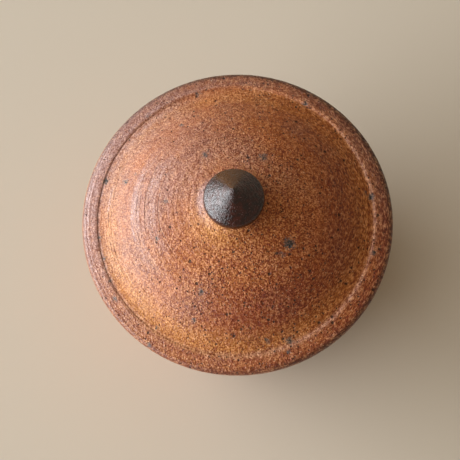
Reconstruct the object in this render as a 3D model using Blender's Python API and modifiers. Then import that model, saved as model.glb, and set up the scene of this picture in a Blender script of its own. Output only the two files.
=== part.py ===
"""A salt pot in unglazed stoneware: a thrown pot on a foot ring, a domed lid whose collar drops
into the pot's mouth, and a pointed knob seated on the lid's crown.

Lengths are in metres and the Z axis is the wheel's axis. The pot stands on its foot ring at Z = 0.
"""

import math

import bpy

MM = 0.001

# The lid, counted up from its seat, the flat face that rests on the pot's lip
LID_RADIUS = 50.0 * MM
RIM_WIDEST_HEIGHT = 2.6 * MM  # where the rim's rounded edge reaches LID_RADIUS
RIM_TOP_HEIGHT = 5.3 * MM  # inner edge of the rim's top band
RIM_EDGE_WIDTH = 1.5 * MM  # how far the rounding above reaches in from LID_RADIUS
RIM_UNDERCUT = 0.7 * MM  # and the rounding below
RIM_BAND_FALL = 0.7 * MM  # how much lower the band's outer edge is than its inner one
GROOVE_INSET = 5.6 * MM  # from LID_RADIUS in to the bottom of the groove
GROOVE_WIDTH = 0.9 * MM  # from the bottom of the groove out to the band
GROOVE_DEPTH = 0.4 * MM  # from the band's inner edge down to the bottom of the groove
GROOVE_SIDE_SLOPE = math.radians(15)  # of the groove's outer side, where it leaves the bottom
SHOULDER_INSET = 9.6 * MM  # from the groove in to the dome's shoulder, its steepest place
SHOULDER_RISE = 5.3 * MM  # from the bottom of the groove up to the shoulder
DOME_RISE = 15.5 * MM  # and up to the crown
CROWN_LAND = 1.2 * MM  # flat ring round the knob's socket
CROWN_SLOPE = math.radians(11)  # fall of the dome where it leaves the crown
SHOULDER_SLOPE = math.radians(34)  # at the shoulder
DOME_FOOT_SLOPE = math.radians(15)  # and where it meets the groove
LID_WALL = 4.5 * MM
LID_OVERHANG = 6.0 * MM  # how far the lid's rim stands out past the pot's lip

# The collar under the lid, which keeps it centred in the mouth
COLLAR_DEPTH = 6.5 * MM
COLLAR_WALL = 3.6 * MM
COLLAR_CLEARANCE = 1.0 * MM  # radial play between the collar and the mouth

# The knob, counted up from the lid's crown
KNOB_RADIUS = 9.4 * MM
KNOB_WIDEST_HEIGHT = 4.7 * MM
KNOB_CONE_HEIGHT = 8.9 * MM  # from the widest ring up to the point
KNOB_EDGE = 1.7 * MM  # half the height of the rounded edge at the widest ring
KNOB_EDGE_INSET = 0.6 * MM  # how far the rounded edge draws in above and below that ring
KNOB_UNDER_SLOPE = math.radians(30)  # slope of the face under the edge
KNOB_POINT_RADIUS = 0.9 * MM
KNOB_NECK_RADIUS = 5.0 * MM
KNOB_NECK_HEIGHT = 1.7 * MM
KNOB_FOOT_RADIUS = 6.2 * MM
KNOB_FOOT_SLOPE = math.radians(40)  # slope of the foot's flare where it meets the crown
SOCKET_DEPTH = 0.9 * MM  # shallow socket in the crown that the knob's foot is luted into
SOCKET_CLEARANCE = 0.3 * MM

# The pot
POT_HEIGHT = 66.0 * MM  # from the foot to the top of the lip
LIP_ROUND = 1.2 * MM
BELLY_SWELL = 0.8 * MM  # how far the belly stands out past the lip
BELLY_DROP = 20.0 * MM  # from the top of the lip down to the widest part
POT_WALL = 4.4 * MM
POT_FLOOR = 6.0 * MM
FLOOR_ROUND = 8.0 * MM  # rounding between the floor and the wall inside
FOOT_INSET = 10.8 * MM  # from the belly's radius in to the foot ring's outside
FOOT_HEIGHT = 4.5 * MM
FOOT_WIDTH = 4.8 * MM
FOOT_ROUND = 0.8 * MM
FOOT_RECESS = 3.0 * MM  # how deep the underside is hollowed inside the ring
FOOT_STEP = 2.4 * MM  # how far the wall stands out over the foot ring
WALL_RISE = math.radians(60)  # slope of the wall where it leaves the foot ring

# The ridges that a thrower's fingers leave
RIDGE_DEPTH = 0.16 * MM
RIDGE_PITCH = 5.2 * MM

# Pieces that touch keep this gap, so that no two solids share a face
SEAT_GAP = 0.3 * MM

# A rounded edge takes at most this share of the wall it is on
EDGE_SHARE = 0.4

# Sizes that follow from the ones above
LIP_RADIUS = LID_RADIUS - LID_OVERHANG
MOUTH_RADIUS = LIP_RADIUS - POT_WALL
BELLY_RADIUS = LIP_RADIUS + BELLY_SWELL
FOOT_RADIUS = BELLY_RADIUS - FOOT_INSET
COLLAR_RADIUS = MOUTH_RADIUS - COLLAR_CLEARANCE
GROOVE_RADIUS = LID_RADIUS - GROOVE_INSET
GROOVE_FLOOR = RIM_TOP_HEIGHT - GROOVE_DEPTH
SHOULDER_RADIUS = GROOVE_RADIUS - SHOULDER_INSET
SHOULDER_HEIGHT = GROOVE_FLOOR + SHOULDER_RISE
CROWN_HEIGHT = GROOVE_FLOOR + DOME_RISE
SOCKET_RADIUS = KNOB_FOOT_RADIUS + SOCKET_CLEARANCE
CROWN_RADIUS = SOCKET_RADIUS + CROWN_LAND
LID_SEAT_Z = POT_HEIGHT + SEAT_GAP
LIP_EDGE = min(LIP_ROUND, EDGE_SHARE * POT_WALL)
FOOT_EDGE = min(FOOT_ROUND, EDGE_SHARE * FOOT_WIDTH, EDGE_SHARE * FOOT_RECESS)

# How finely each surface is cut
TURN_STEPS = 48
KNOB_TURN_STEPS = 36
EDGE_STEPS = 3
CURVE_STEPS = 4
RIDGE_STEPS = 4  # stretches along each ridge
FEWEST_STEPS = 8  # along a short ridged line
SHORTEST_STRETCH = 2.4 * MM  # between two points of an inner wall, where a curve joins it
MERGE_DISTANCE = 0.01 * MM

# The colour of each piece and how rough it is
POT_CLAY = (0.33, 0.12, 0.056, 1.0)
POT_ROUGHNESS = 0.75
LID_CLAY = (0.38, 0.14, 0.062, 1.0)
LID_ROUGHNESS = 0.7
KNOB_GLAZE = (0.04, 0.02, 0.014, 1.0)
KNOB_ROUGHNESS = 0.3


def arc(centre, radii, start, end, steps):
    """Points on an ellipse about centre, from angle start to end in degrees, both ends included."""
    points = []
    for i in range(steps + 1):
        angle = math.radians(start + (end - start) * i / steps)
        points.append((centre[0] + radii[0] * math.cos(angle), centre[1] + radii[1] * math.sin(angle)))
    return points


def bend(start, start_slope, end, end_slope, steps):
    """A smooth cubic between two points. Slopes are angles of travel, in radians from +X."""
    reach = math.dist(start, end) / 3
    first = (start[0] + reach * math.cos(start_slope), start[1] + reach * math.sin(start_slope))
    second = (end[0] - reach * math.cos(end_slope), end[1] - reach * math.sin(end_slope))
    points = []
    for i in range(steps + 1):
        t = i / steps
        weights = ((1 - t) ** 3, 3 * t * (1 - t) ** 2, 3 * t * t * (1 - t), t**3)
        corners = (start, first, second, end)
        points.append(tuple(sum(w * p[axis] for w, p in zip(weights, corners)) for axis in (0, 1)))
    return points


def moved(points, heights):
    """A line moved out along its own normal, by one height or by a list with one for each point."""
    if isinstance(heights, float):
        heights = [heights] * len(points)
    last = len(points) - 1
    result = []
    for i, (point, height) in enumerate(zip(points, heights)):
        before, after = points[max(i - 1, 0)], points[min(i + 1, last)]
        size = math.dist(before, after)
        out_x, out_z = (before[1] - after[1]) / size, (after[0] - before[0]) / size
        result.append((point[0] + height * out_x, point[1] + height * out_z))
    return result


def ridged(points):
    """The same line with throwing ridges, which fade out towards both of its ends."""
    lengths = [0.0]
    for a, b in zip(points, points[1:]):
        lengths.append(lengths[-1] + math.dist(a, b))
    heights = []
    for length in lengths:
        fade = math.sin(math.pi * length / lengths[-1])
        heights.append(RIDGE_DEPTH * fade * math.sin(2 * math.pi * length / RIDGE_PITCH))
    return moved(points, heights)


def ridge_steps(length):
    """How many stretches a ridged line of this length needs."""
    return max(FEWEST_STEPS, round(RIDGE_STEPS * length / RIDGE_PITCH))


def crossing(points, axis, value):
    """The first point on a line where its radius (axis 0) or its height (axis 1) takes a value."""
    for a, b in zip(points, points[1:]):
        step = b[axis] - a[axis]
        if step and 0.0 <= (value - a[axis]) / step <= 1.0:
            share = (value - a[axis]) / step
            return (a[0] + share * (b[0] - a[0]), a[1] + share * (b[1] - a[1]))
    return points[-1]


def pot_wall(upper_steps, lower_steps):
    """The pot's outer wall without its ridges, from the lip down to the foot ring."""
    lip = (LIP_RADIUS, POT_HEIGHT - LIP_EDGE)
    belly = (BELLY_RADIUS, POT_HEIGHT - BELLY_DROP)
    foot = (FOOT_RADIUS + FOOT_STEP, FOOT_HEIGHT)
    down = -math.pi / 2
    upper = bend(lip, down, belly, down, upper_steps)
    return upper + bend(belly, down, foot, math.pi + WALL_RISE, lower_steps)[1:]


def pot_outside():
    """The outer wall with its ridges."""
    return ridged(pot_wall(ridge_steps(BELLY_DROP), ridge_steps(POT_HEIGHT - BELLY_DROP)))


def pot_inside():
    """The pot's inner face, POT_WALL inside the outer wall, from the floor's middle to the lip."""
    floor = FOOT_RECESS + POT_FLOOR
    wall = moved(pot_wall(CURVE_STEPS, 2 * CURVE_STEPS), -POT_WALL)
    spring = crossing(wall, 1, floor + FLOOR_ROUND)
    rising = [p for p in reversed(wall[1:-1]) if p[1] > spring[1] + SHORTEST_STRETCH]
    lean = math.atan2(rising[0][1] - spring[1], rising[0][0] - spring[0])
    corner = bend((spring[0] - FLOOR_ROUND, floor), 0.0, spring, lean, CURVE_STEPS)
    return [(0.0, floor)] + corner + rising + [(MOUTH_RADIUS, POT_HEIGHT - LIP_EDGE)]


def pot_lip():
    """The lip's two rounded edges and the flat between them, from inside to outside."""
    height = POT_HEIGHT - LIP_EDGE
    radii = (LIP_EDGE, LIP_EDGE)
    inner = arc((MOUTH_RADIUS + LIP_EDGE, height), radii, 180, 90, EDGE_STEPS)
    outer = arc((LIP_RADIUS - LIP_EDGE, height), radii, 90, 0, EDGE_STEPS)
    return inner[1:] + outer[:-1]


def pot_foot():
    """The foot ring and the hollow inside it, from the wall to the middle of the underside."""
    radii = (FOOT_EDGE, FOOT_EDGE)
    inner_radius = FOOT_RADIUS - FOOT_WIDTH
    outer = arc((FOOT_RADIUS - FOOT_EDGE, FOOT_EDGE), radii, 0, -90, EDGE_STEPS)
    inner = arc((inner_radius + FOOT_EDGE, FOOT_EDGE), radii, -90, -180, EDGE_STEPS)
    hollow = arc((inner_radius - FOOT_EDGE, FOOT_RECESS - FOOT_EDGE), radii, 0, 90, EDGE_STEPS)
    return [(FOOT_RADIUS, FOOT_HEIGHT)] + outer + inner + hollow + [(0.0, FOOT_RECESS)]


def lid_dome(upper_steps, lower_steps):
    """The lid's top without its ridges, from the crown's flat out to the bottom of the groove."""
    crown = (CROWN_RADIUS, CROWN_HEIGHT)
    shoulder = (SHOULDER_RADIUS, SHOULDER_HEIGHT)
    groove = (GROOVE_RADIUS, GROOVE_FLOOR)
    upper = bend(crown, -CROWN_SLOPE, shoulder, -SHOULDER_SLOPE, upper_steps)
    return upper + bend(shoulder, -SHOULDER_SLOPE, groove, -DOME_FOOT_SLOPE, lower_steps)[1:]


def lid_top():
    """The socket for the knob's foot, the flat ring round it and the dome with its ridges."""
    floor = CROWN_HEIGHT - SOCKET_DEPTH
    socket = [(0.0, floor), (SOCKET_RADIUS, floor), (SOCKET_RADIUS, CROWN_HEIGHT)]
    upper_steps = ridge_steps(SHOULDER_RADIUS - CROWN_RADIUS)
    return socket + ridged(lid_dome(upper_steps, ridge_steps(SHOULDER_INSET)))


def lid_rim():
    """The groove's outer side, the top band and the rounded edge, round to the seat."""
    band_inner = (GROOVE_RADIUS + GROOVE_WIDTH, RIM_TOP_HEIGHT)
    band_outer = (LID_RADIUS - RIM_EDGE_WIDTH, RIM_TOP_HEIGHT - RIM_BAND_FALL)
    groove = (GROOVE_RADIUS, GROOVE_FLOOR)
    groove_side = bend(groove, GROOVE_SIDE_SLOPE, band_inner, 0.0, EDGE_STEPS)
    above = (RIM_EDGE_WIDTH, band_outer[1] - RIM_WIDEST_HEIGHT)
    below = (RIM_UNDERCUT, RIM_WIDEST_HEIGHT)
    upper = arc((LID_RADIUS - RIM_EDGE_WIDTH, RIM_WIDEST_HEIGHT), above, 90, 0, EDGE_STEPS + 1)
    lower = arc((LID_RADIUS - RIM_UNDERCUT, RIM_WIDEST_HEIGHT), below, 0, -90, EDGE_STEPS)
    return groove_side[1:] + upper + lower[1:]


def lid_underside():
    """The seat, the collar and the hollow under the dome, which stays LID_WALL below it."""
    inner_radius = COLLAR_RADIUS - COLLAR_WALL
    tip = COLLAR_WALL / 2
    collar_end = arc((COLLAR_RADIUS - tip, tip - COLLAR_DEPTH), (tip, tip), 0, -180, 2 * EDGE_STEPS)
    vault = moved(lid_dome(2 * CURVE_STEPS, 2 * CURVE_STEPS), -LID_WALL)
    spring = crossing(vault, 0, inner_radius)
    rising = [p for p in reversed(vault) if p[0] < spring[0] - SHORTEST_STRETCH]
    return [(COLLAR_RADIUS, 0.0)] + collar_end + [spring] + rising + [(0.0, CROWN_HEIGHT - LID_WALL)]


def knob_outline():
    """The knob from its point down to the middle of its foot."""
    point = KNOB_WIDEST_HEIGHT + KNOB_CONE_HEIGHT
    widest = (KNOB_RADIUS, KNOB_WIDEST_HEIGHT)
    shoulder = (KNOB_RADIUS - KNOB_EDGE_INSET, KNOB_WIDEST_HEIGHT + KNOB_EDGE)
    under = (KNOB_RADIUS - KNOB_EDGE_INSET, KNOB_WIDEST_HEIGHT - KNOB_EDGE)
    neck = (KNOB_NECK_RADIUS, KNOB_NECK_HEIGHT)
    foot = SEAT_GAP - SOCKET_DEPTH
    fall = math.atan2(shoulder[1] - point, shoulder[0])
    down = -math.pi / 2
    back_in = KNOB_UNDER_SLOPE - math.pi
    radii = (KNOB_POINT_RADIUS, KNOB_POINT_RADIUS)
    tip = arc((0.0, point - KNOB_POINT_RADIUS), radii, 90, 90 + math.degrees(fall), EDGE_STEPS)
    upper_edge = bend(shoulder, fall, widest, down, EDGE_STEPS)
    lower_edge = bend(widest, down, under, back_in, EDGE_STEPS)
    stem = bend(under, back_in, neck, down, CURVE_STEPS)
    flare = bend(neck, down, (KNOB_FOOT_RADIUS, 0.0), -KNOB_FOOT_SLOPE, CURVE_STEPS)
    sides = upper_edge + lower_edge[1:] + stem[1:] + flare[1:]
    return tip + sides + [(KNOB_FOOT_RADIUS, foot), (0.0, foot)]


def clay_material(name, colour, roughness):
    """A fired clay or a glaze: not a metal, in one colour and one roughness."""
    material = bpy.data.materials.new(name)
    material.use_nodes = True
    shader = material.node_tree.nodes["Principled BSDF"]
    shader.inputs["Base Color"].default_value = colour
    shader.inputs["Roughness"].default_value = roughness
    shader.inputs["Metallic"].default_value = 0.0
    return material


def turned(name, outline, steps, material, collection):
    """An object turned on the Z axis from an outline that runs down its outer side."""
    mesh = bpy.data.meshes.new(name)
    edges = [(i, i + 1) for i in range(len(outline) - 1)]
    mesh.from_pydata([(x, 0.0, z) for x, z in outline], edges, [])
    mesh.materials.append(material)
    piece = bpy.data.objects.new(name, mesh)
    collection.objects.link(piece)
    screw = piece.modifiers.new("Turn", "SCREW")
    screw.axis = "Z"
    screw.angle = 2 * math.pi
    screw.steps = steps
    screw.render_steps = steps
    screw.use_merge_vertices = True
    screw.merge_threshold = MERGE_DISTANCE
    screw.use_smooth_shade = True
    return piece


def build():
    """The whole pot: its body, the lid that lifts off it, and the knob on the lid."""
    for old in list(bpy.data.objects):
        bpy.data.objects.remove(old)
    collection = bpy.data.collections.new("salt_pot")
    bpy.context.scene.collection.children.link(collection)

    pot_line = pot_inside() + pot_lip() + pot_outside() + pot_foot()
    pot_material = clay_material("pot_clay", POT_CLAY, POT_ROUGHNESS)
    turned("pot_body", pot_line, TURN_STEPS, pot_material, collection)

    # The lid lifts straight up along the wheel's axis, which this empty marks at the seat.
    lift = bpy.data.objects.new("lid_lift_axis", None)
    lift.location = (0.0, 0.0, LID_SEAT_Z)
    collection.objects.link(lift)

    lid_line = lid_top() + lid_rim() + lid_underside()
    lid_material = clay_material("lid_clay", LID_CLAY, LID_ROUGHNESS)
    lid = turned("lid", lid_line, TURN_STEPS, lid_material, collection)
    lid.parent = lift

    knob_material = clay_material("knob_glaze", KNOB_GLAZE, KNOB_ROUGHNESS)
    knob = turned("knob", knob_outline(), KNOB_TURN_STEPS, knob_material, collection)
    knob.parent = lid
    knob.location = (0.0, 0.0, CROWN_HEIGHT)


build()
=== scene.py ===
"""The looks of a salt pot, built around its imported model: camera, light, floor, clay and glaze.

Places on the pot are given as a radius from the wheel's axis and a height above the table, both in
millimetres, and an azimuth in degrees, counted from +X towards +Y. Objects are in metres.
"""
import math

import bpy
import numpy as np
from mathutils import Matrix, Vector, kdtree, noise


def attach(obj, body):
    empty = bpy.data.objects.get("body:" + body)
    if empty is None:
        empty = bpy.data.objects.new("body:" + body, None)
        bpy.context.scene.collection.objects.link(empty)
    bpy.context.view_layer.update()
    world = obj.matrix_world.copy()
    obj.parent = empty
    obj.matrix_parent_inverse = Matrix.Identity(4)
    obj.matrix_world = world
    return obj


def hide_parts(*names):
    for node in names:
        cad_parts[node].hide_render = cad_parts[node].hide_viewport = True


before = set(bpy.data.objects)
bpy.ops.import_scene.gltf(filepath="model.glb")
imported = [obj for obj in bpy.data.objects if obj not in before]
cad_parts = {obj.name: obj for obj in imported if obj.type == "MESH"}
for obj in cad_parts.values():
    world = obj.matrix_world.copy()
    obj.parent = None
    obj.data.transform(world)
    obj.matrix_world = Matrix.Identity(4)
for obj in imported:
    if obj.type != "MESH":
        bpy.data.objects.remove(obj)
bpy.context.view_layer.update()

MM = 0.001

# The photograph's camera: an image this many pixels wide, whose lens has this focal length in
# pixels, and which holds the centre of the lid's rim at this pixel
IMAGE_SIZE = 460
FOCAL_PIXELS = 1083.0
RIM_CENTRE_PIXEL = (236.3, 219.4)
CAMERA_DISTANCE = 0.350
CAMERA_TILT = math.radians(16.4)  # away from straight above
CAMERA_SIDE = math.radians(7.0)  # and towards +X from -Y
SENSOR_WIDTH = 36.0
NEAREST_SEEN = 0.01

# The lid's sizes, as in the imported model
LID_RADIUS = 50.0
RIM_WIDEST_Z = 68.9
RIM_TOP_Z = 71.6
RIM_EDGE_WIDTH = 1.5
RIM_UNDERCUT = 0.7
RIM_BAND_FALL = 0.7
GROOVE_RADIUS = 44.4
GROOVE_WIDTH = 0.9
GROOVE_Z = 71.2
GROOVE_SIDE_SLOPE = math.radians(15)
SHOULDER_RADIUS = 34.8
SHOULDER_Z = 76.5
CROWN_Z = 86.7
CROWN_RADIUS = 7.7
CROWN_SLOPE = math.radians(11)
SHOULDER_SLOPE = math.radians(34)
DOME_FOOT_SLOPE = math.radians(15)
SOCKET_RADIUS = 6.5
SOCKET_DEPTH = 0.9
LID_SEAT_Z = 66.3
LID_WALL = 4.5
COLLAR_RADIUS = 38.6
COLLAR_WALL = 3.6
COLLAR_DEPTH = 6.5

# The knob's
KNOB_RADIUS = 9.4
KNOB_WIDEST_Z = 91.4
KNOB_POINT_Z = 100.3
KNOB_EDGE = 1.7
KNOB_EDGE_INSET = 0.6
KNOB_UNDER_SLOPE = math.radians(30)
KNOB_POINT_RADIUS = 0.9
KNOB_NECK_RADIUS = 5.0
KNOB_NECK_Z = 88.4
KNOB_FOOT_RADIUS = 6.2
KNOB_FOOT_SLOPE = math.radians(40)
KNOB_FOOT_Z = 86.1

# And the pot's
POT_HEIGHT = 66.0
LIP_RADIUS = 44.0
MOUTH_RADIUS = 39.6
LIP_ROUND = 1.2
BELLY_RADIUS = 44.8
BELLY_Z = 46.0
WALL_FOOT_RADIUS = 36.4
WALL_RISE = math.radians(60)
POT_WALL = 4.4
FLOOR_Z = 9.0
FLOOR_ROUND = 8.0
FOOT_RADIUS = 34.0
FOOT_HEIGHT = 4.5
FOOT_WIDTH = 4.8
FOOT_ROUND = 0.8
FOOT_RECESS = 3.0

# How finely the pieces are cut: stretches around, and the length of one along the outline
LID_AROUND = 400
POT_AROUND = 360
KNOB_AROUND = 256
FINE = 0.33
COARSE = 0.9
POT_STEP = 0.62

# How much the height counts in the streaks around the lid and the knob, which slope outward
DOME_RISE = -0.3

# The thrower's spiral on the lid: one line comes inward this far in each turn
SPIRAL_PITCH = 5.2
SPIRAL_RADIUS = 30.2  # of the line at SPIRAL_AZIMUTH
SPIRAL_AZIMUTH = math.radians(144)

# Radii of thin dark lines in the lid: the first lies in the groove and is painted shade, the others
# are lines that grit dragged
THIN_LINES = (44.7, 41.0, 40.0, 31.2, 28.5, 23.9)

# How sharply the iron spots on the lid end, and their radius, azimuth, size and strength
IRON_SHARPNESS = 1.3
IRON_SPOTS = (
    (19.8, 119, 1.5, 0.8),
    (18.6, 61, 1.7, 0.8),
    (37.1, 163, 1.3, 0.9),
    (34.7, 158, 0.8, 0.6),
    (44.3, 164, 1.4, 1.0),
    (21.8, 175, 1.2, 0.7),
    (13.0, 157, 1.1, 0.4),
    (20.7, 325, 2.2, 1.0),
    (21.4, 314, 1.1, 0.7),
    (28.4, 249, 1.1, 1.0),
    (26.2, 202, 0.9, 0.8),
    (34.6, 121, 0.8, 1.0),
    (45.0, 60, 1.1, 0.9),
    (42.3, 11, 1.0, 0.7),
    (44.0, 9, 1.5, 0.9),
    (44.9, 107, 1.4, 0.6),
    (45.8, 130, 1.2, 0.6),
    (45.5, 345, 1.1, 0.8),
    (41.2, 284, 1.1, 0.9),
    (43.4, 293, 1.3, 1.0),
    (46.5, 291, 0.7, 0.9),
    (36.6, 250, 0.9, 0.8),
    (43.4, 236, 0.7, 0.8),
    (49.0, 237, 1.0, 0.8),
    (46.6, 215, 1.2, 0.8),
    (44.3, 189, 1.0, 0.7),
    (44.1, 198, 0.9, 0.7),
    (44.8, 208, 0.9, 0.7),
)

# A width that reaches all the way around and across
EVERYWHERE = 1e6

# How the flame coloured the lid, and where shade and sheen are painted on it. Rows of PATCHES are a
# strength, a radius and its width, an azimuth and its width. In rows of EDGES the radii are where it
# starts and from where on it is full.
OCHRE_PATCHES = (
    (0.85, 10.5, 4.5, 228, 55),
    (0.45, 43.6, 1.4, 252, 42),
    (0.7, 44.9, 0.6, 265, 60),
    (0.35, 42.8, 1.8, 138, 32),
    (0.6, 44.5, 0.9, 15, 60),
)
OCHRE_BAND_RADIUS = 40.8
OCHRE_BAND_WIDTH = 3.0
OCHRE_BAND_DRIFT = 0.8
OCHRE_BAND_SIDES = ((0.35, 0, EVERYWHERE), (0.4, 215, 45), (0.25, 300, 50))
# Painted shade: the dome darker on its side turned away from the window
PAINTED_SHADE_SIDE = ((0.6, 33.0, 7.0, 335, 80),)
# Painted shade: a dark ring round the knob's foot, where the knob shades the dome, and darker patches
# away from the window
PAINTED_SHADE_PATCHES = (
    (0.8, 10.2, 1.3, 95, 32),
    (0.6, 32.0, 8.0, 281, 32),
    (0.32, 0.0, EVERYWHERE, 322, 75),
    (0.3, 36.0, 9.0, 55, 35),
)
# Painted shade: the rim darker towards its outer edge, on the side turned from the window and all
# around its outermost edge
PAINTED_SHADE_EDGES = (
    (1.0, 45.6, 48.0, 0, 60),
    (0.4, 48.5, 49.5, 0, EVERYWHERE),
    (1.0, 48.3, 49.6, 20, 110),
)
# A purplish flashing, and on the side facing the window a lilac tint laid on as painted sheen
MAUVE_PATCHES = (
    (0.32, 35.0, 7.0, 192, 42),
    (0.3, 18.0, 8.0, 85, 60),
    (0.45, 27.0, 9.0, 115, 30),
)
MAUVE_EDGES = (
    (0.75, 44.9, 46.0, 115, 55),
    (0.2, 44.9, 46.0, 250, 50),
    (0.5, 44.9, 46.0, 30, 45),
    (1.0, 48.1, 49.3, 155, 45),
)
# Painted sheen: a pale lilac where the window's reflection lies, mostly on the side facing it, at the
# knob's foot and along the groove
PAINTED_SHEEN_PATCHES = (
    (0.52, 21.0, 10.0, 160, 40),
    (0.3, 38.0, 8.0, 128, 30),
    (0.6, 43.2, 1.4, 148, 42),
    (0.9, GROOVE_RADIUS + 0.4, 0.7, 182, 42),
    (1.0, 10.4, 1.8, 162, 36),
    (0.25, 16.0, 6.0, 75, 40),
    (0.6, 44.8, 0.9, 325, 95),
    (0.3, 40.0, 3.5, 152, 32),
    (0.5, 45.7, 0.9, 145, 50),
    (0.25, 27.0, 5.0, 168, 40),
)
# and on the rim's band at that side
PAINTED_SHEEN_EDGES = ((1.0, 44.9, 46.0, 168, 40),)
# Painted shade: the rim's outer edge darker, most at the top and the right, where it turns from the
# window
PAINTED_RIM_SHADE_EDGES = (
    (1.15, 47.6, 49.3, 82, 80),
    (0.7, 47.6, 49.3, 310, 50),
    (0.4, 45.9, 46.8, 35, 38),
    (0.26, 48.8, 49.4, 190, 70),
)
# Where hands and tools left it smooth, besides the strip between the lines of the spiral. There the
# clay is also tinted lilac, as painted sheen.
POLISHED_PATCHES = ((1.0, 41.1, 0.5, 173, 6), (1.0, 10.4, 1.5, 165, 36))
POLISHED_STRIP_START = (22.0, 24.0)
POLISHED_STRIP_END = (34.0, 32.4)
POLISHED_STRIP_SIDES = ((1.0, 176, 30),)
POLISHED_RIM_START = (46.9, 47.3)
POLISHED_RIM_END = (48.6, 49.4)
POLISHED_RIM_SIDES = ((1.3, 170, 35),)
SANDY_SIDES = ((0.25, 0, EVERYWHERE), (0.6, 300, 70), (0.55, 30, 60))
SANDY_PATCHES = ((-0.35, 39.0, 7.0, 178, 45),)
TURNED_START = (22.0, 36.0)
TURNED_SIDES = ((1.1, 0, 85),)
LINED_SIDES = ((1.0, 178, 42),)

# How the groove and the rim left the round, in millimetres. Rows of SIDES are an amount outward,
# an azimuth and its width. The rim's edge is moved out, aside and into an oval.
GROOVE_SIDES = ((0.3, 65, 32), (-0.1, 168, 30), (0.2, 130, 28), (-0.2, 322, 38), (-0.4, 22, 40))
RIM_OUT = 0.36
RIM_ASIDE = (0.16, 0.12)
RIM_OVAL = (-0.15, -0.17)
WARP_START = (39.0, 44.0)  # radii from which on the warp starts, and is full
RIM_WARP_START = (45.5, 48.5)
RIM_LOWERED = (
    (0.42, 44.2, 45.3, 233, 48),
    (0.336, 44.2, 45.3, 152, 38),
    (0.3, 44.6, 49.4, 228, 42),
    (0.45, 47.8, 49.6, 60, 60),
)

# Radii between which the dome's lines and the rim's fine rings start and end
DOME_START = (7.9, 10.5)
DOME_END = (44.6, 43.6)
RINGS_START = (37.5, 40.5)
RINGS_END = (49.4, 48.0)

# Relief of the lid's top, in millimetres, outward from the clay
BROAD_LINE_HEIGHT = 0.055
CUT_LINE_DEPTH = 0.11
CUT_LINE_WIDTH = 0.33
CUT_LINE_SIDES = ((1.0, 178, 42),)
RING_HEIGHT = 0.045
RING_PITCH = 0.95
SAND_HEIGHT = 0.022
LUMP_HEIGHT = 0.05
FILLET_HEIGHT = 0.8  # of the clay that is drawn up to the knob
FILLET_WIDTH = 2.8
FILLET_END = (32.0, 14.0)
DENTS = (
    (-0.06, GROOVE_RADIUS + 0.3, 0.25, 165, 45),
    (-0.14, GROOVE_RADIUS - 0.8, 0.6, 25, 50),
    (-0.12, 46.9, 0.3, 180, 60),
)
RIM_FALLS = ((-0.38, 46.8, 49.0, 165, 42),)
LID_PITS = {"count": 60, "sizes": (0.35, 0.7), "seed": 5}
HOLLOW_LINE_HEIGHT = 0.09
HOLLOW_LINE_PITCH = 4.4

# Relief of the knob, and the azimuths in degrees between which the painted reflection on its top, a
# greenish-brown wedge, starts and ends
KNOB_SAND_HEIGHT = 0.018
KNOB_LUMP_HEIGHT = 0.04
REFLECTION_START = (52, 75)
REFLECTION_END = (145, 125)

# Relief and colours of the pot: the radii or heights between which each starts and ends, and the
# height and width of the flame low on the wall
POT_INSIDE_START = (12, 30)
POT_INSIDE_END = (64, 60)
POT_OUTSIDE_START = (4.6, 9)
POT_OUTSIDE_END = (66, 62.5)
FLAME_Z = 30
FLAME_DRIFT = 4
FLAME_WIDTH = 14
HIGH_FLAME_START = (40, 62)
POT_LINE_HEIGHT = 0.12
POT_LINE_PITCH = 5.6
POT_SAND_HEIGHT = 0.03
POT_LUMP_HEIGHT = 0.07
POT_PITS = {"count": 200, "sizes": (0.5, 0.9), "seed": 6}
FLAME_SIDES = ((1.0, 205, 75),)
# Painted shade: the pot's wall darker on its side turned from the window
POT_PAINTED_SHADE_SIDES = ((0.7, 10, 70),)


def bend(start, start_slope, end, end_slope, step):
    """A smooth cubic between two points. Slopes are angles of travel, in radians from +X."""
    reach = math.dist(start, end) / 3
    first = (start[0] + reach * math.cos(start_slope), start[1] + reach * math.sin(start_slope))
    second = (end[0] - reach * math.cos(end_slope), end[1] - reach * math.sin(end_slope))
    corners = np.array([start, first, second, end])
    t = np.linspace(0, 1, stretches(start, end, step) + 1)[:, None]
    weights = ((1 - t) ** 3, 3 * t * (1 - t) ** 2, 3 * t * t * (1 - t), t**3)
    return sum(weight * corner for weight, corner in zip(weights, corners))


def line(start, end, step):
    """A straight run of points."""
    return np.linspace(start, end, stretches(start, end, step) + 1)


def arc(centre, radii, start, end, step):
    """Points on an ellipse about centre, from angle start to end in degrees."""
    count = max(4, round(math.radians(abs(end - start)) * max(radii) / step))
    angles = np.radians(np.linspace(start, end, count + 1))
    return np.stack([centre[0] + radii[0] * np.cos(angles), centre[1] + radii[1] * np.sin(angles)], 1)


def stretches(start, end, step):
    """How many stretches of about this step fit between two points."""
    return max(1, round(math.dist(start, end) / step))


def joined(*runs):
    """Runs of points as one line, without the doubles where they meet."""
    points = [runs[0]]
    for run in runs[1:]:
        same = np.allclose(run[0], points[-1][-1], atol=1e-6)
        points.append(run[1:] if same else run)
    return np.concatenate(points)


# How far apart in the noise the places of two seeds are
SEED_STEP = np.array([17.3, 5.9, 11.1])


def rippled(places, size, seed, octaves=1):
    """Smooth noise between about -1 and 1 at each place, whose features have this size."""
    offset = seed * SEED_STEP
    values = np.zeros(len(places))
    for octave in range(octaves):
        scaled = places / size * 2**octave + offset
        values += np.fromiter((noise.noise(p) for p in scaled), float, len(places)) / 2**octave
    return values


def bump_at(value, centre, width):
    """1 where the value is at centre, falling off smoothly over the width."""
    return np.exp(-(((value - centre) / width) ** 2))


def ramp(value, low, high):
    """0 below low, 1 above high and smooth between them."""
    t = np.clip((value - low) / (high - low), 0, 1)
    return t * t * (3 - 2 * t)


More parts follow.
